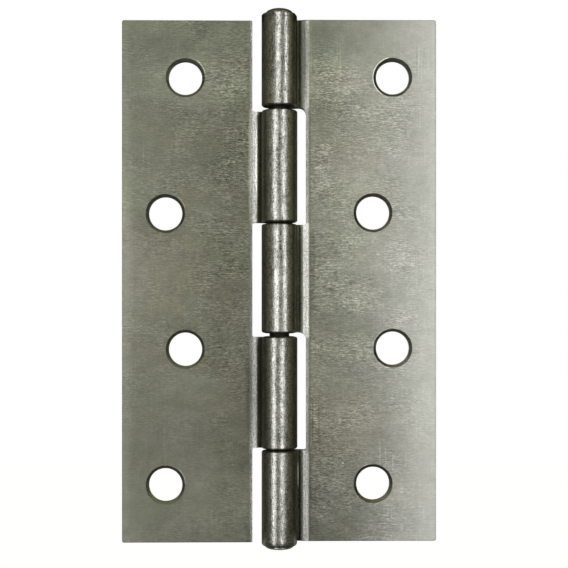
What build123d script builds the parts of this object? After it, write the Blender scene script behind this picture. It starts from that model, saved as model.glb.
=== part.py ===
from build123d import *
import math
import os

# Steel butt hinge, open flat: two leaves stamped and rolled from sheet, and one pin.
# Millimetres and degrees. The pin axis is Z and the origin is on it, half way up the leaves.
# The leaves lie along X, the three-knuckle leaf on +X. The barrel and the sunk side of
# the screw holes face -Y, and the flat backs face +Y.

# Blank
LEAF_LENGTH = 100.0
HALF_WIDTH = 30.1
SHEET = 1.5
CORNER_RADIUS = 0.4
EDGE_BREAK = 0.08

# Barrel
PIN_DIAMETER = 3.8
RUNNING_CLEARANCE = 0.05
TOP_KNUCKLE = 16.8
BOTTOM_KNUCKLE = 17.5
TURNING_KNUCKLE = 21.3
KNUCKLE_GAP = 0.6
NOTCH_CLEARANCE = 1.7
NOTCH_RADIUS = 0.4
WORN_NOTCH_RADIUS = 1.4
SEAM_GAP = 0.1
SETTLE = 0.2

# Rolled ends of the knuckles: those at a gap are a little higher at the bore, and the
# barrel's own two ends stand past the leaf, with the blank's corner clipped beside it
GAP_CROWN = 0.15
GAP_EDGE_BREAK = 0.25
END_STAND = 0.75
TOP_EDGE_BREAK = 0.12
BOTTOM_EDGE_ROUND = 0.7
CLIP_START = 2.75
CLIP_ANGLE = 35.0

# Reverse bend, which sets the leaf back from the pin axis so that the leaves close parallel
CLOSED_GAP = 1.2
BEND_RADIUS = 2.5
BEND_SPREAD = 2.45

# Screw holes, in two lines on each leaf
HOLE_COUNT = 4
HOLE_DIAMETER = 6.4
SINK_WIDTH = 0.55
SINK_ANGLE = 90.0
END_MARGIN = 11.0
EDGE_MARGIN = 8.3
STAGGER = 3.8

# Peened heads of the pin
HEAD_RADIUS = 2.65
HEAD_RIM = 0.15
HEAD_FULLNESS = 0.55
TOP_DOME = 1.04
BOTTOM_DOME = 0.55

# How far the cutters reach past the metal
CUT_MARGIN = 5.0

# Worked out from the sizes above
PIN_RADIUS = PIN_DIAMETER / 2
GRIPPING_BORE = PIN_RADIUS
TURNING_BORE = PIN_RADIUS + RUNNING_CLEARANCE
BARREL_RADIUS = TURNING_BORE + SHEET
FRONT_FACE = CLOSED_GAP / 2
BACK_FACE = FRONT_FACE + SHEET
BEND_START = BARREL_RADIUS + BEND_SPREAD
NOTCH_EDGE = BARREL_RADIUS + NOTCH_CLEARANCE
HALF_LENGTH = LEAF_LENGTH / 2
FAR_LINE = HALF_WIDTH - EDGE_MARGIN
NEAR_LINE = FAR_LINE - STAGGER
HOLE_PITCH = (LEAF_LENGTH - 2 * END_MARGIN) / (HOLE_COUNT - 1)
BARREL_END = HALF_LENGTH + END_STAND


def knuckle_spans():
    """Lowest and highest Z of the five knuckles at the leaf, from the bottom up."""
    others = TOP_KNUCKLE + BOTTOM_KNUCKLE + 2 * TURNING_KNUCKLE + 4 * KNUCKLE_GAP
    middle = LEAF_LENGTH - others
    spans = []
    low = -HALF_LENGTH
    for length in (BOTTOM_KNUCKLE, TURNING_KNUCKLE, middle, TURNING_KNUCKLE, TOP_KNUCKLE):
        spans.append((low, low + length))
        low += length + KNUCKLE_GAP
    return spans


def slope_angle(bore):
    """Slope of the straight run that touches both the curl and the reverse bend."""
    centre_y = BACK_FACE + BEND_RADIUS
    reach = math.hypot(BEND_START, centre_y)
    touching = (bore + BEND_RADIUS + SHEET) / reach
    return math.degrees(math.atan2(BEND_START, centre_y) - math.acos(touching))


def free_end_angle(bore):
    """Angle from +X at which the curl's cut edge stops short of its own leaf."""
    closing = math.degrees(math.acos((bore - SEAM_GAP) / (bore + SHEET)))
    return 90.0 - slope_angle(bore) - closing


def on_circle(radius, angle, centre=(0.0, 0.0)):
    """Point on a circle in the section's plane."""
    turn = math.radians(angle)
    return (centre[0] + radius * math.cos(turn), centre[1] + radius * math.sin(turn))


def sheet_section(bore):
    """Section across the pin: flat leaf, reverse bend, slope behind the pin, closed curl."""
    slope = slope_angle(bore)
    start = 90.0 - slope
    end = free_end_angle(bore)
    wrap = 360.0 + end - start
    outer = bore + SHEET
    bend = (BEND_START, BACK_FACE + BEND_RADIUS)
    front_bend = BEND_RADIUS + SHEET
    bend_end = -90.0 - slope
    outline = [
        Line((HALF_WIDTH, FRONT_FACE), (BEND_START, FRONT_FACE)),
        CenterArc(bend, front_bend, -90.0, -slope),
        Line(on_circle(front_bend, bend_end, bend), on_circle(bore, start)),
        CenterArc((0, 0), bore, start, wrap),
        Line(on_circle(bore, end), on_circle(outer, end)),
        CenterArc((0, 0), outer, start, wrap),
        Line(on_circle(outer, start), on_circle(BEND_RADIUS, bend_end, bend)),
        CenterArc(bend, BEND_RADIUS, -90.0, -slope),
        Line((BEND_START, BACK_FACE), (HALF_WIDTH, BACK_FACE)),
        Line((HALF_WIDTH, BACK_FACE), (HALF_WIDTH, FRONT_FACE)),
    ]
    return make_face(outline)


def knuckle_space(low, high, upper_radius):
    """Cutter for the room of one of the other leaf's knuckles, round-cornered at the leaf."""
    left = -BARREL_RADIUS - CUT_MARGIN
    width = NOTCH_EDGE - left
    depth = 2 * (BARREL_RADIUS + CUT_MARGIN)
    block = Box(width, depth, high - low)
    inner_edges = block.edges().filter_by(Axis.Y).group_by(Axis.X)[-1].sort_by(Axis.Z)
    block = fillet(inner_edges[0], NOTCH_RADIUS)
    upper_edge = block.edges().filter_by(Axis.Y).group_by(Axis.X)[-1].sort_by(Axis.Z)[-1]
    block = fillet(upper_edge, upper_radius)
    return Pos(left + width / 2, 0, (low + high) / 2) * block


def knuckle_spaces(own, spans, upper_radius):
    """Cutters between a leaf's own knuckles; one at an end of the leaf runs off that end."""
    past_end = HALF_LENGTH + CUT_MARGIN
    last = len(spans) - 1
    spaces = []
    for index in range(len(spans)):
        if index not in own:
            low = spans[index - 1][1] if index > 0 else -past_end
            high = spans[index + 1][0] if index < last else past_end
            spaces.append(knuckle_space(low, high, upper_radius))
    return spaces


def along_curl(profile, bore):
    """Revolve a radial profile as far round the pin as the curl goes."""
    slope = slope_angle(bore)
    wrap = 270.0 + slope + free_end_angle(bore)
    return Rot(0, 0, 90.0 - slope) * revolve(make_face(profile), Axis.Z, wrap)


def gap_crown(bore):
    """Rim on top of a curl's end at a gap, highest at the bore, at Z 0."""
    outer = bore + SHEET
    shoulder = (bore + SHEET / 2, 0, 0.75 * GAP_CROWN)
    profile = [
        Line((bore, 0, 0), (bore, 0, GAP_CROWN)),
        ThreePointArc((bore, 0, GAP_CROWN), shoulder, (outer - GAP_EDGE_BREAK, 0, 0)),
        Line((outer - GAP_EDGE_BREAK, 0, 0), (bore, 0, 0)),
    ]
    return along_curl(profile, bore)


def edge_relief(bore):
    """Cutter that breaks a curl's outer edge at a gap, its end being at Z 0."""
    outer = bore + SHEET
    inner = outer - GAP_EDGE_BREAK
    profile = Polyline((inner, 0, 0), (outer, 0, -GAP_EDGE_BREAK), (outer, 0, 0), close=True)
    return along_curl(profile, bore)


def broken_edge(inner, outer):
    """Straight outer edge of the barrel's upper end."""
    return Line((inner, 0, END_STAND), (outer, 0, END_STAND - TOP_EDGE_BREAK))


def hammered_edge(inner, outer):
    """Round outer edge of the barrel's lower end."""
    part_way = on_circle(BOTTOM_EDGE_ROUND, 45.0, (inner, END_STAND - BOTTOM_EDGE_ROUND))
    edge_low = (outer, 0, END_STAND - BOTTOM_EDGE_ROUND)
    return ThreePointArc((inner, 0, END_STAND), (part_way[0], 0, part_way[1]), edge_low)


def barrel_end(bore, edge, edge_width):
    """Plain rim that stands past the leaf from Z 0, clipped beside the leaf."""
    outer = bore + SHEET
    inner = outer - edge_width
    sides = Polyline(
        (inner, 0, END_STAND),
        (bore, 0, END_STAND),
        (bore, 0, 0),
        (outer, 0, 0),
        (outer, 0, END_STAND - edge_width),
    )
    drop = math.tan(math.radians(CLIP_ANGLE))
    clip = make_face(Polyline(
        (CLIP_START, 0, END_STAND),
        (CLIP_START + END_STAND / drop, 0, 0),
        (CLIP_START + END_STAND / drop, 0, END_STAND),
        close=True,
    ))
    return along_curl([edge(inner, outer), sides], bore) - extrude(clip, 2 * outer, both=True)


def placed(end, z, upwards):
    """Put what is made for an upper end at Z; a lower end is its mirror image."""
    return Pos(0, 0, z) * (end if upwards else mirror(end, Plane.XY))


def with_rolled_ends(leaf, own, spans, bore):
    """Round and crown each knuckle's ends at the gaps, and add the barrel's own two ends."""
    last = len(spans) - 1
    crown = gap_crown(bore)
    relief = edge_relief(bore)
    for index in own:
        low, high = spans[index]
        if index == 0:
            leaf += placed(barrel_end(bore, hammered_edge, BOTTOM_EDGE_ROUND), low, False)
        else:
            leaf = leaf - placed(relief, low, False) + placed(crown, low, False)
        if index == last:
            leaf += placed(barrel_end(bore, broken_edge, TOP_EDGE_BREAK), high, True)
        else:
            leaf = leaf - placed(relief, high, True) + placed(crown, high, True)
    return leaf


def screw_hole(x, z):
    """Cutter for one through hole with its sunk edge on the front face."""
    radius = HOLE_DIAMETER / 2
    depth = SINK_WIDTH / math.tan(math.radians(SINK_ANGLE / 2))
    through = Cylinder(radius, 2 * (SHEET + CUT_MARGIN))
    sink = Pos(0, 0, -depth / 2) * Cone(radius, radius + SINK_WIDTH, depth)
    return Pos(x, FRONT_FACE, z) * Rot(90, 0, 0) * (through + sink)


def hole_places(near_at_top):
    """X and Z of the staggered holes from the top down, changing line at each hole."""
    places = []
    for index in range(HOLE_COUNT):
        near = (index % 2 == 0) == near_at_top
        z = HALF_LENGTH - END_MARGIN - index * HOLE_PITCH
        places.append((NEAR_LINE if near else FAR_LINE, z))
    return places


def rolled_leaf(own, bore, near_at_top, upper_radius):
    """One leaf on +X: rolled sheet, spaces cut out, corners, rolled ends, screw holes."""
    spans = knuckle_spans()
    leaf = Pos(0, 0, -HALF_LENGTH) * extrude(sheet_section(bore), LEAF_LENGTH)
    corners = leaf.edges().filter_by(Axis.Y).group_by(Axis.X)[-1]
    leaf = fillet(corners, CORNER_RADIUS)
    outer_edges = leaf.edges().filter_by(Axis.Z).group_by(Axis.X)[-1]
    leaf = chamfer(outer_edges, EDGE_BREAK)
    for space in knuckle_spaces(own, spans, upper_radius):
        leaf -= space
    leaf = with_rolled_ends(leaf, own, spans, bore)
    for x, z in hole_places(near_at_top):
        leaf -= screw_hole(x, z)
    return leaf


def dome_curve(rim_z, dome):
    """Curve from a head's tip on the axis to its rim, level at the tip and upright at the rim."""
    tip_z = rim_z + dome
    full_out = (HEAD_FULLNESS * HEAD_RADIUS, 0, tip_z)
    full_up = (HEAD_RADIUS, 0, rim_z + HEAD_FULLNESS * dome)
    return Bezier((0, 0, tip_z), full_out, full_up, (HEAD_RADIUS, 0, rim_z))


def peened_pin():
    """Straight pin through the barrel, each end peened to a flattened dome with a short rim."""
    rim_z = BARREL_END + HEAD_RIM
    sides = Polyline(
        (HEAD_RADIUS, 0, rim_z),
        (HEAD_RADIUS, 0, BARREL_END),
        (PIN_RADIUS, 0, BARREL_END),
        (PIN_RADIUS, 0, -BARREL_END),
        (HEAD_RADIUS, 0, -BARREL_END),
        (HEAD_RADIUS, 0, -rim_z),
    )
    axis = Line((0, 0, -rim_z - BOTTOM_DOME), (0, 0, rim_z + TOP_DOME))
    profile = [axis, dome_curve(rim_z, TOP_DOME), sides, dome_curve(-rim_z, -BOTTOM_DOME)]
    return revolve(make_face(profile), Axis.Z, 360.0)


three_knuckle_leaf = rolled_leaf((0, 2, 4), GRIPPING_BORE, False, WORN_NOTCH_RADIUS)
two_knuckle_leaf = Pos(0, 0, -SETTLE) * mirror(rolled_leaf((1, 3), TURNING_BORE, True, NOTCH_RADIUS), Plane.YZ)
hinge_pin = peened_pin()

os.makedirs("parts", exist_ok=True)
export_step(three_knuckle_leaf, "parts/three_knuckle_leaf.step")
export_step(two_knuckle_leaf, "parts/two_knuckle_leaf.step")
export_step(hinge_pin, "parts/hinge_pin.step")
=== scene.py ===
import math

import bpy
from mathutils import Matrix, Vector


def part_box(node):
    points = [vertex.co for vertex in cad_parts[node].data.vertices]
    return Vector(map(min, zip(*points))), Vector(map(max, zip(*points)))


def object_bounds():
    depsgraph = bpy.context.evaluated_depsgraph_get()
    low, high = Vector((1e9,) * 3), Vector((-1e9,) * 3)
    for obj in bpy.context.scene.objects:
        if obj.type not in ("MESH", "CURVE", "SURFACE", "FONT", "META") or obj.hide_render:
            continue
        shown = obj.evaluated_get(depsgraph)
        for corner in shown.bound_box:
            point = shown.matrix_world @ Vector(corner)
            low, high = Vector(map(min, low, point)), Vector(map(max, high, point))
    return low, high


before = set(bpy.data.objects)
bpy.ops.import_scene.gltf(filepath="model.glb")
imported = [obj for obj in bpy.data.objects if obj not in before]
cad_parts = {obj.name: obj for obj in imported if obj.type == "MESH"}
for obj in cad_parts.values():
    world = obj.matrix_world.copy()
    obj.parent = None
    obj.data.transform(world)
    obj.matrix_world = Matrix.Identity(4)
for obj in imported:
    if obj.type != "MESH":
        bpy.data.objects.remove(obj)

CAD_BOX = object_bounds()
MM = 0.001

bl_info = {
    "name": "Butt Hinge Finish",
    "version": (1, 0, 0),
    "blender": (4, 5, 0),
    "location": "3D View > Sidebar > Butt Hinge",
    "description": "Finishes a bare steel butt hinge and lights it for a catalogue view",
    "category": "Object",
}

PIN = "hinge_pin"
# Which side of the picture each leaf lies on.
SIDES = {"three_knuckle_leaf": "right", "two_knuckle_leaf": "left"}
# Camera: side of the picture in pixels, sensor in mm, and nearest distance seen in metres.
PHOTO_SIDE = 568
SENSOR_WIDTH = 36.0
CLIP_START = 0.01
# Width of the strip at a leaf's outer edge in which its front face is looked for.
EDGE_WIDTH = 2 * MM

# Where one part of a leaf gives way to the next, in mm: by distance from the pin's axis,
# by distance across the leaf, and by Y, which runs from the front face to the back.
BARREL_RADIUS = 3.45
BARREL_RIM = (3.55, 3.75)
BEND_RIM = (5.5, 6.1)
BEND_BACK = (1.4, 2.0)
FRONT_SKIN = (1.0, 1.4)
LEANING = 6.0
# How much of the bend's grain the sheet has on its front and on its back.
BEND_GRAIN = (1.0, 0.3)
# Z of the normal from which a face counts as sheared, and between which it counts as a screw
# hole's sink, with the softness of that range.
CUT_TILT = (0.75, 0.95)
SINK_TILT = (0.35, 0.85, 0.2)
# Distance across the barrel in which its bright front turns into its flanks, in mm.
FLANKS = (1.3, 2.6)
# The painted shade in the crease beside the barrel: where its front and back lie, how soft its edge is, and
# how much farther it reaches between two heights on each leaf.
CREASE_FRONT = (3.5, 3.6)
CREASE_BACK = (1.6, 1.8)
CREASE_SOFT = 0.1
CREASE_HEIGHTS = (10.0, 40.0)
CREASE_GROWTH = {"three_knuckle_leaf": 0.35, "two_knuckle_leaf": 0.0}
# A thin painted highlight in it where the sheet leaves the barrel, with its softness, and how much
# lighter it is.
CREASE_GLINT = (3.48, 3.68, 0.06)
CREASE_GLINT_TONE = {"three_knuckle_leaf": 3.0, "two_knuckle_leaf": 0.0}
# The painted highlight on the strip beside the barrel where the bend begins, with its softness, and how much
# lighter it is: all along the leaf, and further at the leaf's own knuckles.
BEND_HIGHLIGHT = (5.2, 5.72, 0.2)
BEND_HIGHLIGHT_TONE = {"three_knuckle_leaf": (0.4, 1.05), "two_knuckle_leaf": (0.0, 0.35)}
# Heights between which each leaf's own knuckles stand, and how soft their ends are, in mm.
KNUCKLE_SOFT = 0.3
KNUCKLES = {
    "three_knuckle_leaf": ((-50.0, -33.0), (-11.0, 11.0), (33.0, 50.0)),
    "two_knuckle_leaf": ((-33.0, -11.0), (11.0, 33.0)),
}
# How far the knuckles are out of round, as the slope that it gives their front, changing with
# height: first and last Z in mm, and the slope below and above.
OUT_OF_ROUND = {
    "three_knuckle_leaf": ((-31.0, -11.0, -0.09, 0.074), (11.0, 50.0, 0.0, 0.126)),
    "two_knuckle_leaf": ((-10.0, 10.0, -0.1, 0.0),),
}
# How much lighter or darker the leaves' parts are than plain sheet, which has a tone of one, and
# the least tone that the grain can give. The crease's darkening is painted shade, and the sink's lightening
# is painted light on the upward slopes of the screw holes' sinks.
TONES = {"barrel": 0.12, "pit": -0.7, "crease": -0.65, "cut": -0.72, "sink": 0.9}
DARKEST_TONE = 0.15
# How strong the brush marks are by distance across the leaf, how strong towards the right
# edge, and how much they vary from place to place.
MARKS_ACROSS = (5.0, 30.0, 1.35, 0.5)
MARKS_AT_RIGHT = (21.0, 29.0, 1.0, 0.45)
MARKS_VARY = (0.55, 1.3)
# Share of the mottle on rolled steel, and the barrel's grain and smears on its front and flanks.
ROLLED_MOTTLE = 0.2
BARREL_GRAIN = (3.4, 2.4)
BARREL_SMEAR = (1.0, 0.5)
# First and last X in mm where the steel turns cooler in colour, a painted sheen of the reflected lamps, and
# how much before and after.
COOL_SHEEN_SIDE = (8.0, 26.0, 0.0, 0.7)
# What the mottle and the sheared faces add to the roughness, and the marks' depth as a share
# of the pitting's.
MOTTLE_ROUGHNESS = 0.1
CUT_ROUGHNESS = 0.3
MARK_DEPTH = 0.3

# Noises: size of a feature along X, Y and Z in mm, detail, roughness, and place in the noise.
GRAINS = {
    "olive": ((11.0, 11.0, 9.0), 3.0, 0.5, (0.0, 0.0, 0.0)),
    "rust": ((9.0, 9.0, 7.0), 2.0, 0.5, (40.0, 2.0, 9.0)),
    "cloud": ((8.0, 8.0, 6.0), 2.0, 0.5, (17.0, 3.0, 40.0)),
    "mottle": ((2.4, 2.4, 1.9), 3.0, 0.6, (5.0, 0.0, 3.0)),
    "marked": ((9.0, 9.0, 6.0), 2.0, 0.5, (31.0, 7.0, 12.0)),
    "speck": ((0.22, 0.22, 0.16), 2.0, 0.6, (3.0, 8.0, 6.0)),
    "grain": ((0.26, 0.26, 0.3), 2.0, 0.65, (1.0, 2.0, 3.0)),
    "blotch": ((0.7, 0.7, 1.1), 2.0, 0.6, (6.0, 1.0, 2.0)),
    "drag": ((0.3, 0.3, 3.0), 2.0, 0.5, (8.0, 2.0, 5.0)),
    "pit": ((0.4, 0.4, 0.5), 1.0, 0.5, (3.0, 3.0, 8.0)),
    "swell": ((1.5, 1.5, 2.4), 1.0, 0.5, (2.0, 4.0, 1.0)),
    "hair": ((0.14, 2.0, 7.0), 1.0, 0.5, (2.0, 6.0, 70.0)),
    "wire": ((0.26, 0.26, 0.3), 2.0, 0.65, (0.0, 0.0, 0.0)),
}
# Values of such a noise at which its spots begin and are full.
STEPS_OF_NOISE = {
    "olive": (0.35, 0.65),
    "rust": (0.48, 0.68),
    "marked": (0.35, 0.65),
    "pit": (0.3, 0.22),
    "hair": (0.62, 0.74),
}
# How strongly a noise changes the steel's tone, and how strongly the rust its colour.
STRENGTHS = {
    "cloud": 0.36,
    "mottle": 0.4,
    "speck": 0.45,
    "grain": 1.0,
    "blotch": 1.6,
    "drag": 1.2,
    "hair": 0.16,
    "wire": 1.8,
}
RUST_STRENGTH = 0.22
# The two kinds of brush mark: how many mark lengths and widths they measure, their strength,
# and their place in the noise.
STROKES = (
    (1.0, 1.0, 1.0, (0.0, 0.0, 0.0)),
    (3.0, 1.2, 0.5, (9.0, 0.0, 4.0)),
)
# Their depth in mm, and the detail and roughness of their noise.
STROKE_DEPTH = 2.0
STROKE_NOISE = (2.0, 0.6)
# How much more the strong marks stand out than the weak ones.
STROKE_CONTRAST = 1.5

# Oval patches of lighter or duller sheet: X, Z, half width and half height in mm, and how much
# lighter. The narrow ovals beside the barrel and the strip at the left leaf's outer edge are painted shade
# and painted highlights.
PATCHES = {
    "three_knuckle_leaf": (
        (8.0, -46.0, 14.0, 24.0, -0.43),
        (9.5, 25.0, 8.0, 14.0, -0.06),
        (7.0, -2.0, 7.0, 18.0, -0.16),
        (15.0, -23.0, 12.0, 15.0, -0.24),
        (17.0, 0.0, 9.0, 12.0, -0.08),
        (25.0, 14.0, 7.0, 24.0, -0.07),
        (9.0, 32.0, 6.0, 5.0, -0.14),
        (11.0, 20.0, 8.0, 3.0, 0.12),
        (9.0, 13.0, 5.0, 4.0, -0.1),
        (18.0, 5.0, 9.0, 6.0, 0.13),
        (14.0, -9.0, 9.0, 5.0, -0.22),
        (12.0, -42.0, 7.0, 7.0, 0.16),
        (21.0, -34.0, 6.0, 8.0, -0.18),
        (22.0, -45.0, 6.0, 5.0, -0.1),
        (12.0, -28.0, 5.0, 6.0, 0.14),
        (24.0, 30.0, 9.0, 6.0, -0.08),
        (13.0, 40.0, 6.0, 5.0, 0.1),
        (8.0, 46.0, 3.0, 4.0, -0.12),
        # Narrow painted shade and painted highlights along the bend and crease beside the barrel.
        (5.18, 43.0, 0.6, 14.0, -0.6),
        (5.97, 43.0, 0.33, 13.0, 0.33),
        (4.3, 44.0, 0.6, 24.0, -0.3),
        (5.6, -42.0, 0.6, 11.0, -0.15),
        (6.3, 1.5, 0.8, 11.0, -0.3),
    ),
    "two_knuckle_leaf": (
        (-8.5, -6.0, 7.0, 46.0, -0.1),
        (-27.0, 36.0, 10.0, 24.0, -0.13),
        (-9.0, 47.0, 9.0, 9.0, 0.1),
        (-28.0, -26.0, 8.0, 22.0, -0.14),
        # A painted highlight along the left leaf's outer edge.
        (-30.5, 0.0, 3.0, 75.0, 0.24),
        (-17.0, 38.0, 14.0, 6.5, 0.3),
        (-23.0, 49.0, 8.0, 3.0, 0.15),
        (-11.0, 24.0, 8.0, 6.5, -0.15),
        (-23.0, 11.0, 7.0, 5.0, -0.13),
        (-22.0, -11.0, 7.0, 7.0, -0.08),
        (-14.0, -20.0, 8.0, 4.0, 0.08),
        (-11.0, -42.0, 11.0, 9.0, 0.22),
        # Narrow painted highlights and painted shade along the bend beside the barrel.
        (-5.65, 22.0, 0.5, 11.8, 0.6),
        (-4.3, 22.0, 0.3, 11.8, 2.2),
        (-4.3, -22.0, 0.3, 11.8, 0.5),
        (-5.0, -21.0, 2.0, 12.0, -0.42),
    ),
}
# Scratches and specks on the front: X, Z, half width and half height in mm, and how much lighter.
SCRATCHES = {
    "three_knuckle_leaf": (
        (26.4, 42.5, 0.14, 3.6, -0.14),
        (26.8, 42.0, 0.16, 4.2, 0.2),
        (27.3, 40.5, 0.14, 3.4, 0.18),
        (27.8, 43.0, 0.14, 3.0, -0.12),
        (28.6, 42.0, 0.14, 4.0, 0.14),
        (11.7, 42.5, 0.14, 5.0, 0.26),
        (11.1, 43.5, 0.14, 3.5, 0.18),
        (19.3, -33.0, 0.16, 3.6, 0.3),
        (21.8, -34.9, 0.16, 2.4, 0.3),
        (20.4, -34.0, 0.14, 3.0, 0.2),
        (12.2, -35.0, 0.22, 0.2, 1.8),
        (6.4, -27.0, 0.2, 6.0, -0.35),
        (7.6, -27.0, 0.2, 6.0, -0.3),
        # A painted highlight: a bright glint line where the sheet leaves the barrel by the bottom knuckle.
        (3.62, -37.2, 0.13, 2.8, 12.0),
    ),
    "two_knuckle_leaf": (
        (-9.0, 38.0, 0.14, 5.0, 0.2),
        (-26.0, 24.0, 0.14, 3.5, 0.22),
        (-19.6, 27.0, 0.14, 4.0, 0.18),
        (-22.0, -30.0, 0.14, 5.0, 0.16),
        (-13.0, -46.0, 0.14, 4.0, 0.14),
    ),
}
# Painted highlights of the burrs glinting at the screw holes' rims: the hole's X and Z in mm, first and last
# angle anticlockwise from the right in degrees, and how much lighter.
BURR_GLINTS = {
    "three_knuckle_leaf": (
        (21.8, 39.0, 105.0, 235.0, 1.9),
        (21.8, -13.0, 125.0, 150.0, 0.8),
        (21.8, -13.0, 235.0, 260.0, 0.8),
        (18.0, -39.0, 100.0, 125.0, 0.6),
        (18.0, -39.0, 280.0, 300.0, 0.6),
    ),
    "two_knuckle_leaf": (
        (-18.0, 39.0, 10.0, 55.0, 1.5),
        (-21.8, 13.0, 15.0, 50.0, 0.8),
        (-21.8, 13.0, 292.0, 320.0, 0.9),
        (-21.8, -39.0, 0.0, 50.0, 0.9),
    ),
}
# Radius and width of the burrs' painted highlights and how soft their edges are, in mm, and how soft their
# ends are, in radians.
RIM_RADIUS = 3.75
BURR_WIDTH = 0.14
BURR_SOFT = 0.05
BURR_END = 0.12
# Oval areas where the brush marks are stronger or fainter: X, Z, half width and half height in
# mm, and how much.
CALM = {
    "three_knuckle_leaf": (
        (14.0, 49.0, 22.0, 9.0, -0.7),
        (25.0, 10.0, 6.0, 45.0, 0.5),
    ),
    "two_knuckle_leaf": (
        (-14.0, -38.0, 26.0, 28.0, -0.55),
        (-6.0, 22.0, 8.0, 18.0, 0.35),
    ),
}
# Oval stains: colour, X, Z, half width and half height in mm, and strength.
STAINS = {
    "three_knuckle_leaf": (
        ("green", 12.0, 46.0, 12.0, 7.0, 0.2),
        ("brown", 14.5, 24.0, 7.0, 5.0, 0.25),
        ("green", 12.5, 2.5, 4.0, 5.0, 0.25),
        ("green", 11.5, -6.0, 4.0, 4.0, 0.2),
        ("brown", 6.8, -26.0, 1.6, 9.0, 0.5),
        ("brown", 13.0, -28.0, 12.0, 10.0, 0.35),
        ("brown", 23.0, -34.0, 7.0, 14.0, 0.3),
    ),
    "two_knuckle_leaf": (
        ("green", -18.0, 44.0, 18.0, 14.0, 0.2),
        ("brown", -18.2, 15.0, 2.2, 4.5, 0.7),
        ("brown", -18.0, 0.0, 12.0, 12.0, 0.35),
        ("green", -12.0, 3.0, 3.0, 4.0, 0.3),
        ("green", -15.8, -4.7, 3.5, 3.5, 0.3),
    ),
}

# The pin's heads: where their bright steel begins and is full, in mm below the tip.
HEAD_DEPTHS = (1.9, 1.7)
# Tone of the heads, what painted shade leaves of it on the wire where it shows between the knuckles, the
# wire's roughness, and the heads' change from that.
WIRE_TONE = 1.1
WIRE_GAP_SHADE = 0.1
WIRE_ROUGHNESS = 0.62
HEAD_SMOOTHER = -0.3

# Lamps: degrees to the right of the camera, distance in metres, how many degrees wide they
# look, and height in metres.
LAMPS = {
    "left_lamp": (-26.0, 0.60, 11.0, 0.55),
    "right_lamp": (29.0, 0.30, 7.0, 0.32),
}
# How far the lamps' middle stands above the hinge's, in metres.
LAMP_LIFT = 0.01
# Parts of the studio by direction: where the light of the camera's side begins and is full, how
# much it tips upwards, where the pale side behind the hinge begins, and where the wall does.
GLOW_SIDE = (0.3, -0.5)
GLOW_TIP = -0.35
PALE_SIDE = (0.78, 0.98)
WALL_SIDE = (0.4, 0.95)
WHITE = (1.0, 1.0, 1.0, 1.0)
# The floor: half its side and its drop below the hinge in metres, how grey it is to light, how
# bright it looks, and how far behind the hinge it turns pale in reflections.
FLOOR_HALF = 3.0
FLOOR_DROP = 0.3
FLOOR_GREY = (0.25, 0.25, 0.25, 1.0)
FLOOR_ROUGHNESS = 0.9
FLOOR_GLOW = 0.93
FLOOR_PALE = (0.1, 0.6)


def leaf_face():
    """Y of the leaves' front face: the foremost vertex at the left leaf's outer edge."""
    name = "two_knuckle_leaf"
    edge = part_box(name)[0].x + EDGE_WIDTH
    return min(v.co.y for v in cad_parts[name].data.vertices if v.co.x < edge)


class NodeTree:
    """A node tree, with one short method for each kind of node that the hinge needs."""

    def __init__(self, tree):
        self.nodes = tree.nodes
        self.links = tree.links

    def put(self, source, socket):
        """Link a socket, or write a plain number or colour."""
        if isinstance(source, bpy.types.NodeSocket):
            self.links.new(source, socket)
        else:
            socket.default_value = source

    def outputs(self, kind):
        """Outputs of a new node that takes nothing in."""
        return self.nodes.new(kind).outputs

    def split(self, vector):
        """X, Y and Z of a vector."""
        node = self.nodes.new("ShaderNodeSeparateXYZ")
        self.links.new(vector, node.inputs[0])
        return node.outputs

    def vector(self, operation, source, values):
        """A vector added to or divided by plain numbers."""
        node = self.nodes.new("ShaderNodeVectorMath")
        node.operation = operation
        self.put(source, node.inputs[0])
        node.inputs[1].default_value = values
        return node.outputs[0]

    def scaled(self, vector, factor):
        """A vector or colour times a number."""
        node = self.nodes.new("ShaderNodeVectorMath")
        node.operation = "SCALE"
        self.put(vector, node.inputs[0])
        self.put(factor, node.inputs["Scale"])
        return node.outputs[0]

    def math(self, operation, *values):
        """Result of one operation on up to three numbers."""
        node = self.nodes.new("ShaderNodeMath")
        node.operation = operation
        for value, socket in zip(values, node.inputs):
            self.put(value, socket)
        return node.outputs[0]

    def product(self, first, second):
        """Two numbers multiplied."""
        return self.math("MULTIPLY", first, second)

    def squares(self, first, second):
        """Sum of two numbers' squares."""
        return self.math("ADD", self.product(first, first), self.product(second, second))

    def ramp(self, value, start, end, low=0.0, high=1.0):
        """Smooth step of value from start to end, giving low to high."""
        node = self.nodes.new("ShaderNodeMapRange")
        node.interpolation_type = "SMOOTHSTEP"
        sockets = ("Value", "From Min", "From Max", "To Min", "To Max")
        for source, name in zip((value, start, end, low, high), sockets):
            self.put(source, node.inputs[name])
        return node.outputs[0]

    def window(self, value, start, end, soft):
        """One between start and end, zero outside, with soft edges."""
        rise = self.ramp(value, start - soft, start + soft)
        fall = self.ramp(value, end - soft, end + soft, 1.0, 0.0)
        return self.product(rise, fall)

    def mix(self, amount, first, second, kind="RGBA"):
        """Blend of two colours, or of two numbers with the kind FLOAT."""
        node = self.nodes.new("ShaderNodeMix")
        node.data_type = kind
        self.put(amount, node.inputs["Factor"])
        self.put(first, node.inputs["A"])
        self.put(second, node.inputs["B"])
        return node.outputs["Result"]


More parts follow.
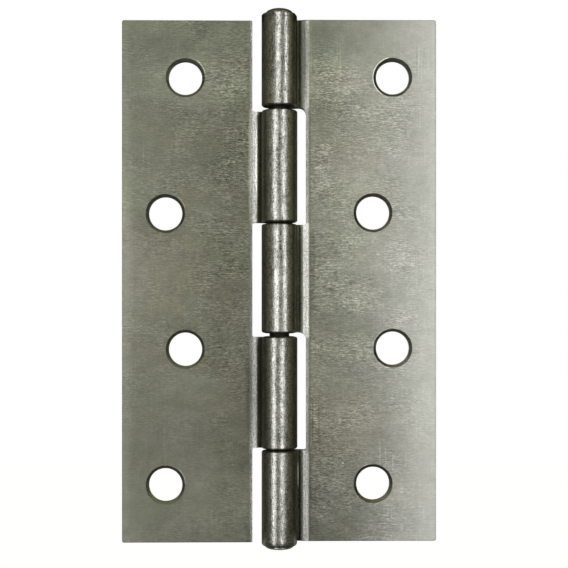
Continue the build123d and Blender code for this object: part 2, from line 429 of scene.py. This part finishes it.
class Finish(NodeTree):
    """A metal's node tree, on its object's own coordinates in millimetres."""

    def __init__(self, name):
        self.material = bpy.data.materials.new(name)
        self.material.use_nodes = True
        super().__init__(self.material.node_tree)
        self.shader = self.nodes["Principled BSDF"]
        self.shader.inputs["Metallic"].default_value = 1.0
        self.place = self.scaled(self.outputs("ShaderNodeTexCoord")["Object"], 1 / MM)
        self.x, self.y, self.z = self.split(self.place)

    def set(self, name, source):
        """Link or write one of the shader's inputs."""
        self.put(source, self.shader.inputs[name])

    def noise(self, size, detail, roughness, shift):
        """Noise from 0 to 1 whose features measure size, in millimetres along X, Y and Z."""
        moved = self.vector("ADD", self.place, shift)
        node = self.nodes.new("ShaderNodeTexNoise")
        node.inputs["Scale"].default_value = 1.0
        node.inputs["Detail"].default_value = detail
        node.inputs["Roughness"].default_value = roughness
        self.put(self.vector("DIVIDE", moved, size), node.inputs["Vector"])
        return node.outputs["Fac"]

    def centred(self, noise, amount):
        """Noise moved to lie about zero, times amount."""
        return self.product(self.math("SUBTRACT", noise, 0.5), amount)

    def unevenness(self, name):
        """One of the named noises about zero, at its strength."""
        return self.centred(self.noise(*GRAINS[name]), STRENGTHS[name])

    def spots(self, name, low=0.0, high=1.0):
        """One of the named noises, stepped from low to high."""
        return self.ramp(self.noise(*GRAINS[name]), *STEPS_OF_NOISE[name], low, high)

    def facing_up(self):
        """Z of the face's own normal."""
        return self.split(self.outputs("ShaderNodeNewGeometry")["True Normal"])["Z"]

    def cut_face(self):
        """One on faces that look up or down, where the sheet was sheared."""
        return self.ramp(self.math("ABSOLUTE", self.facing_up()), *CUT_TILT)

    def slanting_up(self):
        """One on slanting faces that look up, as in the lower half of a screw hole's sink."""
        return self.window(self.facing_up(), *SINK_TILT)

    def patch(self, x, z, width, height):
        """One at a point of the sheet, falling smoothly to zero at the rim of an oval."""
        over = self.math("DIVIDE", self.math("SUBTRACT", self.x, x), width)
        up = self.math("DIVIDE", self.math("SUBTRACT", self.z, z), height)
        return self.ramp(self.squares(over, up), 0.0, 1.0, 1.0, 0.0)

    def arc(self, x, z, start, end):
        """One on a hair-thin arc about a screw hole, between two angles in degrees."""
        over = self.math("SUBTRACT", self.x, x)
        up = self.math("SUBTRACT", self.z, z)
        reach = self.math("SQRT", self.squares(over, up))
        turned = self.math("WRAP", self.math("ARCTAN2", up, over), 2 * math.pi, 0.0)
        sweep = self.window(turned, math.radians(start), math.radians(end), BURR_END)
        rim = self.window(reach, RIM_RADIUS, RIM_RADIUS + BURR_WIDTH, BURR_SOFT)
        return self.product(sweep, rim)

    def lighten(self, value, mask, amount):
        """Value raised by amount where the mask is one."""
        return self.product(value, self.math("MULTIPLY_ADD", mask, amount, 1.0))

    def set_relief(self, height, depth):
        """Bump the surface, depth being the height of one in millimetres."""
        node = self.nodes.new("ShaderNodeBump")
        node.inputs["Distance"].default_value = depth * MM
        self.put(height, node.inputs["Height"])
        self.set("Normal", node.outputs[0])


class Sheet(Finish):
    """Rolled sheet of one leaf: oily, short brush marks across it, a grainy bend and barrel.

    Brush marks are noise drawn out along X. They are strongest by the barrel and fade
    towards the outer edge. The bend and the barrel have a round grain instead.
    """

    def __init__(self, steel, leaf):
        super().__init__("bare_steel_" + leaf)
        self.steel = steel
        self.leaf = leaf
        self.across = self.math("ABSOLUTE", self.x)
        self.radius = self.math("SQRT", self.squares(self.x, self.y))
        self.barrel = self.ramp(self.radius, *BARREL_RIM, 1.0, 0.0)
        bend = self.product(self.ramp(self.across, *BEND_RIM, 1.0, 0.0),
                            self.ramp(self.y, *BEND_BACK, *BEND_GRAIN))
        self.rolled = self.math("MAXIMUM", self.barrel, bend)
        self.flat = self.math("SUBTRACT", 1.0, self.rolled)
        self.front = self.ramp(self.y, *FRONT_SKIN, 1.0, 0.0)
        self.cut = self.cut_face()
        self.crease = self.crease_shade_mask()
        self.fade = self.product(self.ramp(self.across, *MARKS_ACROSS),
                                 self.ramp(self.x, *MARKS_AT_RIGHT))
        self.grain = self.unevenness("grain")
        self.mottle = self.unevenness("mottle")
        self.marks = self.brush_marks()

    def own(self, key):
        """The steel's value for this leaf, out of the two that it keeps."""
        return getattr(self.steel, SIDES[self.leaf] + "_" + key)

    def ovals(self, value, table, mask):
        """Value changed at this leaf's ovals in a table, where the mask is one."""
        for x, z, width, height, amount in table[self.leaf]:
            oval = self.patch(x, z, width, height)
            value = self.lighten(value, self.product(oval, mask), amount)
        return value

    def crease_shade_mask(self):
        """One on the painted shade in the crease between the barrel and the painted highlight strip, on the
        front.
        """
        reach = self.own("crease")
        edge = self.ramp(self.z, *CREASE_HEIGHTS, reach, reach + CREASE_GROWTH[self.leaf])
        past = self.math("SUBTRACT", self.across, edge)
        crease = self.ramp(past, -CREASE_SOFT, CREASE_SOFT, 1.0, 0.0)
        crease = self.product(crease, self.ramp(self.radius, *CREASE_FRONT))
        return self.product(crease, self.ramp(self.y, *CREASE_BACK, 1.0, 0.0))

    def brush_marks(self):
        """Strokes and specks about zero, on the flat sheet only."""
        strokes = self.unevenness("speck")
        for lengths, widths, strength, shift in STROKES:
            size = (lengths * self.steel.mark_length, STROKE_DEPTH, widths * self.steel.mark_width)
            stroke = self.centred(self.noise(size, *STROKE_NOISE, shift), strength)
            strokes = self.math("ADD", strokes, stroke)
        squared = self.product(strokes, strokes)
        strokes = self.math("MULTIPLY_ADD", squared, STROKE_CONTRAST, strokes)
        presence = self.product(self.fade, self.spots("marked", *MARKS_VARY))
        presence = self.ovals(presence, CALM, 1.0)
        return self.product(self.product(strokes, presence), self.flat)

    def colour(self):
        """Olive and grey steel with stains, cooler where rolled and towards the right edge as a painted
        sheen of the reflected lamps, and olive in the crease's painted shade.
        """
        steel = self.steel
        colour = self.mix(self.spots("olive"), tuple(steel.olive), tuple(steel.grey))
        rust = self.product(self.spots("rust"), RUST_STRENGTH)
        colour = self.mix(rust, colour, tuple(steel.brown))
        for tint, x, z, width, height, amount in STAINS[self.leaf]:
            stain = self.product(self.patch(x, z, width, height), amount)
            colour = self.mix(stain, colour, tuple(getattr(steel, tint)))
        # Painted sheen: the colour turns cooler on the barrel and towards the right edge, where the lamps
        # reflect most.
        clean = self.math("MAXIMUM", self.rolled, self.ramp(self.x, *COOL_SHEEN_SIDE))
        colour = self.mix(clean, colour, tuple(steel.clean))
        # In the crease the painted shade also turns the colour olive.
        return self.mix(self.crease, colour, tuple(steel.olive))

    def grain_tone(self):
        """Tone of the sheet from its marks and grain alone, one on average."""
        value = self.math("MULTIPLY_ADD", self.marks, self.steel.marks, 1.0)
        mottled = self.math("MULTIPLY_ADD", self.flat, 1.0 - ROLLED_MOTTLE, ROLLED_MOTTLE)
        value = self.math("MULTIPLY_ADD", self.mottle, mottled, value)
        value = self.math("MULTIPLY_ADD", self.unevenness("cloud"), self.fade, value)
        hair = self.product(self.spots("hair"), self.flat)
        value = self.math("MULTIPLY_ADD", hair, STRENGTHS["hair"], value)
        grainy = self.product(self.rolled, self.ramp(self.across, *FLANKS, *BARREL_GRAIN))
        value = self.math("MULTIPLY_ADD", self.grain, grainy, value)
        uneven = self.product(self.barrel, self.ramp(self.across, *FLANKS, *BARREL_SMEAR))
        smear = self.math("ADD", self.unevenness("blotch"), self.unevenness("drag"))
        value = self.math("MULTIPLY_ADD", smear, uneven, value)
        return self.math("MAXIMUM", value, DARKEST_TONE)

    def tone(self):
        """How light the steel is: one on plain sheet, lighter on the barrel, with painted highlights beside
        the barrel, on the hole rims and on the sinks' upward slopes, and painted shade in the crease.
        """
        value = self.lighten(self.grain_tone(), self.barrel, TONES["barrel"])
        value = self.lighten(value, self.product(self.spots("pit"), self.barrel), TONES["pit"])
        value = self.ovals(value, PATCHES, self.math("SUBTRACT", 1.0, self.barrel))
        value = self.ovals(value, SCRATCHES, self.front)
        # Painted highlights where burrs glint on the screw holes' rims.
        for x, z, start, end, amount in BURR_GLINTS[self.leaf]:
            burr_glint = self.product(self.arc(x, z, start, end), self.front)
            value = self.lighten(value, burr_glint, amount)
        # Painted highlight on the strip where the bend begins beside the barrel, all along the leaf and more
        # at its own knuckles.
        everywhere, at_knuckles = BEND_HIGHLIGHT_TONE[self.leaf]
        bend_highlight = self.window(self.across, *BEND_HIGHLIGHT)
        value = self.lighten(value, bend_highlight, everywhere)
        for low, high in KNUCKLES[self.leaf]:
            bare = self.product(bend_highlight, self.window(self.z, low, high, KNUCKLE_SOFT))
            value = self.lighten(value, bare, at_knuckles)
        # Painted shade: the crease beside the barrel is darkened.
        value = self.lighten(value, self.crease, TONES["crease"])
        # Painted highlight: a thin bright line in the crease where the sheet leaves the barrel.
        crease_glint = self.product(self.crease, self.window(self.across, *CREASE_GLINT))
        value = self.lighten(value, crease_glint, CREASE_GLINT_TONE[self.leaf])
        value = self.lighten(value, self.cut, TONES["cut"])
        # Painted light: the upward-facing slopes of the screw holes' sinks are lightened.
        return self.lighten(value, self.product(self.slanting_up(), self.flat), TONES["sink"])

    def roughness(self):
        """Roughness: a little uneven, and more on sheared faces."""
        steel = self.steel
        rough = self.math("MULTIPLY_ADD", self.mottle, MOTTLE_ROUGHNESS, steel.roughness)
        change = steel.barrel_roughness - steel.roughness
        rough = self.math("MULTIPLY_ADD", self.barrel, change, rough)
        return self.math("MULTIPLY_ADD", self.cut, CUT_ROUGHNESS, rough)

    def height(self):
        """Relief in mm: pits, marks, swells, knuckles out of round, and the leaf's lean."""
        steel = self.steel
        height = self.product(self.product(self.grain, self.rolled), steel.pitting)
        height = self.math("MULTIPLY_ADD", self.marks, MARK_DEPTH * steel.pitting, height)
        swell = self.centred(self.noise(*GRAINS["swell"]), steel.swell)
        height = self.math("MULTIPLY_ADD", swell, self.rolled, height)
        twist = self.product(self.x, self.math("MINIMUM", self.y, 0.0))
        for low, high, below, above in OUT_OF_ROUND[self.leaf]:
            slope = self.ramp(self.z, low, high, -below / BARREL_RADIUS, -above / BARREL_RADIUS)
            height = self.math("MULTIPLY_ADD", twist, slope, height)
        outward = self.math("MAXIMUM", self.math("SUBTRACT", self.across, LEANING), 0.0)
        fall = -math.tan(math.radians(self.own("lean")))
        return self.math("MULTIPLY_ADD", outward, fall, height)


class HingeSteel(bpy.types.PropertyGroup):
    """Colours and grain of the bare steel."""

    olive: bpy.props.FloatVectorProperty(
        name="Oiled steel", description="Olive patches of the oiled sheet", subtype="COLOR",
        size=4, default=(0.2045, 0.211, 0.150, 1.0), min=0.0, max=1.0)
    grey: bpy.props.FloatVectorProperty(
        name="Dry steel", description="Greyer patches of the sheet", subtype="COLOR",
        size=4, default=(0.2135, 0.212, 0.161, 1.0), min=0.0, max=1.0)
    brown: bpy.props.FloatVectorProperty(
        name="Stained steel", description="Faintly brown patches of the sheet", subtype="COLOR",
        size=4, default=(0.228, 0.208, 0.142, 1.0), min=0.0, max=1.0)
    green: bpy.props.FloatVectorProperty(
        name="Green stain", description="Greenest spots of the oil film", subtype="COLOR",
        size=4, default=(0.184, 0.212, 0.156, 1.0), min=0.0, max=1.0)
    # A cooler colour that paints the sheen of the reflected lamps on the barrel and the right leaf's outer
    # side.
    clean: bpy.props.FloatVectorProperty(
        name="Clean steel", description="Cooler steel of the barrel and the right leaf's outer side",
        subtype="COLOR", size=4, default=(0.213, 0.2115, 0.175, 1.0), min=0.0, max=1.0)
    grazing: bpy.props.FloatVectorProperty(
        name="Grazing tint", description="How much of the light is mirrored at a grazing angle",
        subtype="COLOR", size=4, default=(0.3, 0.3, 0.3, 1.0), min=0.0, max=1.0)
    mark_length: bpy.props.FloatProperty(
        name="Mark length", description="Length of the brush marks across the leaf, in millimetres",
        default=0.7, min=0.1)
    mark_width: bpy.props.FloatProperty(
        name="Mark width", description="Width of the brush marks, in millimetres",
        default=0.105, min=0.02)
    marks: bpy.props.FloatProperty(
        name="Mark strength", description="How much the brush marks change the sheet's tone",
        default=2.3, min=0.0)
    roughness: bpy.props.FloatProperty(
        name="Leaf roughness", description="Roughness of the flat sheet",
        default=0.32, min=0.0, max=1.0)
    barrel_roughness: bpy.props.FloatProperty(
        name="Barrel roughness", description="Roughness of the rolled knuckles",
        default=0.33, min=0.0, max=1.0)
    pitting: bpy.props.FloatProperty(
        name="Pitting", description="Depth of the rolled knuckles' orange peel, in millimetres",
        default=0.035, min=0.0)
    swell: bpy.props.FloatProperty(
        name="Swell", description="Depth of the rolled knuckles' slow unevenness, in millimetres",
        default=0.03, min=0.0)
    # How far the painted shade in the crease beside each leaf's knuckles reaches from the pin's axis, in
    # millimetres.
    left_crease: bpy.props.FloatProperty(
        name="Left crease",
        description="Reach of the grime beside the left leaf's knuckles from the pin's axis, in millimetres",
        default=4.07, min=0.0)
    right_crease: bpy.props.FloatProperty(
        name="Right crease",
        description="Reach of the grime beside the right leaf's knuckles, in millimetres",
        default=4.58, min=0.0)
    left_lean: bpy.props.FloatProperty(
        name="Left lean", description="Degrees that the pressed left sheet's surface leans outwards",
        default=0.5)
    right_lean: bpy.props.FloatProperty(
        name="Right lean", description="Degrees that the pressed right sheet's surface leans outwards",
        default=4.0)


class HingeStudio(bpy.types.PropertyGroup):
    """Camera and lamps of the catalogue view."""

    distance: bpy.props.FloatProperty(
        name="Camera distance", description="From the leaves' front face", default=0.26,
        min=0.05, unit="LENGTH", subtype="DISTANCE")
    height: bpy.props.FloatProperty(
        name="Camera height", description="Height of the lens above the middle of the hinge",
        default=-0.0082, unit="LENGTH", subtype="DISTANCE")
    side: bpy.props.FloatProperty(
        name="Camera side", description="Degrees that the camera stands to the right of square on",
        default=-1.0)
    scale: bpy.props.FloatProperty(
        name="Picture scale", description="Pixels of the picture to a millimetre of leaf",
        default=5.217, min=0.1)
    lens_x: bpy.props.FloatProperty(
        name="Lens centre across", description="Where the lens axis meets the picture, in pixels",
        default=279.35)
    lens_y: bpy.props.FloatProperty(
        name="Lens centre down", description="Where the lens axis meets the picture, in pixels",
        default=323.2)
    left_power: bpy.props.FloatProperty(
        name="Left lamp", description="Power of the lamp on the left", default=2.25, min=0.0)
    right_power: bpy.props.FloatProperty(
        name="Right lamp", description="Power of the lamp on the right", default=0.515, min=0.0)
    lamp: bpy.props.FloatVectorProperty(
        name="Lamp colour", description="Cool daylight of both lamps", subtype="COLOR",
        size=4, default=(0.86, 0.87, 1.0, 1.0), min=0.0, max=1.0)
    room: bpy.props.FloatVectorProperty(
        name="Room colour", description="Warmer light of the room behind the camera",
        subtype="COLOR", size=4, default=(0.99, 1.0, 0.76, 1.0), min=0.0, max=1.0)
    wall: bpy.props.FloatVectorProperty(
        name="Wall colour", description="Yellower light from the room's right side",
        subtype="COLOR", size=4, default=(0.97, 1.0, 0.58, 1.0), min=0.0, max=1.0)
    glow: bpy.props.FloatProperty(
        name="Front glow", description="Strength of the studio on the camera's side",
        default=0.35, min=0.0)


class HINGE_OT_leaves(bpy.types.Operator):
    """Give both leaves their bare, brushed and oiled steel"""

    bl_idname = "hinge.finish_leaves"
    bl_label = "Finish the leaves"

    def execute(self, context):
        for name in SIDES:
            wear(name, sheet_finish(context.scene.hinge_steel, name))
        return {"FINISHED"}


class HINGE_OT_pin(bpy.types.Operator):
    """Give the pin its drawn wire finish"""

    bl_idname = "hinge.finish_pin"
    bl_label = "Finish the pin"

    def execute(self, context):
        wear(PIN, pin_finish(context.scene.hinge_steel))
        return {"FINISHED"}


class HINGE_OT_stage(bpy.types.Operator):
    """Set up the backdrop, the lamps and the camera"""

    bl_idname = "hinge.set_stage"
    bl_label = "Set the stage"

    def execute(self, context):
        studio = context.scene.hinge_studio
        set_world(studio)
        set_lamps(studio)
        set_floor()
        set_camera(studio)
        return {"FINISHED"}


class HINGE_PT_panel(bpy.types.Panel):
    """Lists the hinge's values and steps."""

    bl_label = "Butt Hinge"
    bl_idname = "HINGE_PT_panel"
    bl_space_type = "VIEW_3D"
    bl_region_type = "UI"
    bl_category = "Butt Hinge"

    def draw(self, context):
        for group in (context.scene.hinge_steel, context.scene.hinge_studio):
            box = self.layout.box()
            for key in group.bl_rna.properties.keys():
                if key not in ("rna_type", "name"):
                    box.prop(group, key)
        for step in STEPS:
            self.layout.operator(step.bl_idname)


def wear(name, material):
    """Make a material the only one of a piece."""
    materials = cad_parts[name].data.materials
    materials.clear()
    materials.append(material)


def sheet_finish(steel, name):
    """Material of one leaf."""
    sheet = Sheet(steel, name)
    sheet.set("Base Color", sheet.scaled(sheet.colour(), sheet.tone()))
    sheet.set("Specular Tint", tuple(steel.grazing))
    sheet.set("Roughness", sheet.roughness())
    sheet.set_relief(sheet.height(), 1.0)
    return sheet.material


def pin_finish(steel):
    """Drawn wire: darkened by painted shade where it shows between the knuckles, hammered bright at both
    ends.
    """
    wire = Finish("drawn_wire")
    grain = wire.noise(*GRAINS["wire"])
    tip = CAD_BOX[1].z / MM
    start, end = (tip - depth for depth in HEAD_DEPTHS)
    head = wire.ramp(wire.math("ABSOLUTE", wire.z), start, end)
    value = wire.math("ADD", WIRE_TONE, wire.centred(grain, STRENGTHS["wire"]))
    # Painted shade darkens the wire where it shows between the knuckles.
    bright = wire.math("MULTIPLY_ADD", head, 1.0 - WIRE_GAP_SHADE, WIRE_GAP_SHADE)
    wire.set("Base Color", wire.scaled(tuple(steel.grey)[:3], wire.product(value, bright)))
    wire.set("Roughness", wire.math("MULTIPLY_ADD", head, HEAD_SMOOTHER, WIRE_ROUGHNESS))
    wire.set_relief(grain, steel.pitting)
    return wire.material


def set_world(studio):
    """Pale behind the hinge and wherever the camera looks, with a dim studio on its side."""
    world = bpy.data.worlds.new("studio")
    bpy.context.scene.world = world
    world.use_nodes = True
    tree = NodeTree(world.node_tree)
    background = tree.nodes["Background"]
    x, y, z = tree.split(tree.outputs("ShaderNodeTexCoord")["Generated"])
    front = tree.ramp(tree.math("MULTIPLY_ADD", z, GLOW_TIP, y), *GLOW_SIDE, 0.0, studio.glow)
    seen = tree.outputs("ShaderNodeLightPath")["Is Camera Ray"]
    pale = tree.math("MAXIMUM", seen, tree.ramp(y, *PALE_SIDE))
    tree.put(tree.mix(pale, front, 1.0, "FLOAT"), background.inputs["Strength"])
    room = tree.mix(tree.ramp(x, *WALL_SIDE), tuple(studio.room), tuple(studio.wall))
    tree.put(tree.mix(pale, room, WHITE), background.inputs["Color"])


def add_lamp(name, power, studio):
    """Soft upright lamp that faces the barrel."""
    azimuth, distance, spread, height = LAMPS[name]
    light = bpy.data.lights.new(name, "AREA")
    light.shape = "RECTANGLE"
    light.size = 2 * distance * math.tan(math.radians(spread / 2))
    light.size_y = height
    light.energy = power
    light.color = studio.lamp[:3]
    lamp = bpy.data.objects.new(name, light)
    turn = math.radians(studio.side + azimuth)
    away = Vector((distance * math.sin(turn), -distance * math.cos(turn), 0.0))
    lamp.location = away + Vector((0.0, 0.0, LAMP_LIFT))
    lamp.rotation_euler = (-away).to_track_quat("-Z", "Y").to_euler()
    lamp.visible_camera = False
    bpy.context.scene.collection.objects.link(lamp)


def set_lamps(studio):
    """Two tall soft lamps on either side of the camera make the barrel's two streaks.

    The right one is near, so the right leaf grows brighter outwards.
    """
    add_lamp("left_lamp", studio.left_power, studio)
    add_lamp("right_lamp", studio.right_power, studio)


def floor_material():
    """Pale floor, white to the camera and, behind the hinge, to reflections."""
    material = bpy.data.materials.new("pale_floor")
    material.use_nodes = True
    tree = NodeTree(material.node_tree)
    shader = tree.nodes["Principled BSDF"]
    shader.inputs["Base Color"].default_value = FLOOR_GREY
    shader.inputs["Roughness"].default_value = FLOOR_ROUGHNESS
    shader.inputs["Emission Color"].default_value = WHITE
    y = tree.split(tree.outputs("ShaderNodeTexCoord")["Object"])["Y"]
    path = tree.outputs("ShaderNodeLightPath")
    mirrored = tree.product(path["Is Glossy Ray"], tree.ramp(y, *FLOOR_PALE))
    seen = tree.math("MAXIMUM", path["Is Camera Ray"], mirrored)
    tree.put(tree.product(seen, FLOOR_GLOW), shader.inputs["Emission Strength"])
    return material


def set_floor():
    """Large floor well below the hinge."""
    mesh = bpy.data.meshes.new("floor")
    low = CAD_BOX[0].z - FLOOR_DROP
    quarters = ((-1, -1), (1, -1), (1, 1), (-1, 1))
    corners = [(x * FLOOR_HALF, y * FLOOR_HALF, low) for x, y in quarters]
    mesh.from_pydata(corners, [], [(0, 1, 2, 3)])
    mesh.materials.append(floor_material())
    floor = bpy.data.objects.new("floor", mesh)
    bpy.context.scene.collection.objects.link(floor)


def set_camera(studio):
    """Camera level and nearly square to the leaves, with the stated scale and lens centre."""
    data = bpy.data.cameras.new("camera")
    camera = bpy.data.objects.new("camera", data)
    bpy.context.scene.collection.objects.link(camera)
    focal_pixels = studio.scale * studio.distance / MM
    data.sensor_width = SENSOR_WIDTH
    data.lens = focal_pixels * SENSOR_WIDTH / PHOTO_SIDE
    data.shift_x = (PHOTO_SIDE / 2 - studio.lens_x) / PHOTO_SIDE
    data.shift_y = (studio.lens_y - PHOTO_SIDE / 2) / PHOTO_SIDE
    data.clip_start = CLIP_START
    turn = math.radians(studio.side)
    reach = studio.distance - leaf_face()
    camera.location = (reach * math.sin(turn), -reach * math.cos(turn), studio.height)
    camera.rotation_euler = (math.pi / 2, 0.0, turn)
    bpy.context.scene.camera = camera
    bpy.context.scene.view_settings.view_transform = "Standard"


STEPS = (HINGE_OT_leaves, HINGE_OT_pin, HINGE_OT_stage)
CLASSES = (HingeSteel, HingeStudio) + STEPS + (HINGE_PT_panel,)


def register():
    for cls in CLASSES:
        bpy.utils.register_class(cls)
    bpy.types.Scene.hinge_steel = bpy.props.PointerProperty(type=HingeSteel)
    bpy.types.Scene.hinge_studio = bpy.props.PointerProperty(type=HingeStudio)


def unregister():
    del bpy.types.Scene.hinge_studio
    del bpy.types.Scene.hinge_steel
    for cls in reversed(CLASSES):
        bpy.utils.unregister_class(cls)


def main():
    register()
    bpy.ops.hinge.finish_leaves()
    bpy.ops.hinge.finish_pin()
    bpy.ops.hinge.set_stage()


if __name__ == "__main__":
    main()
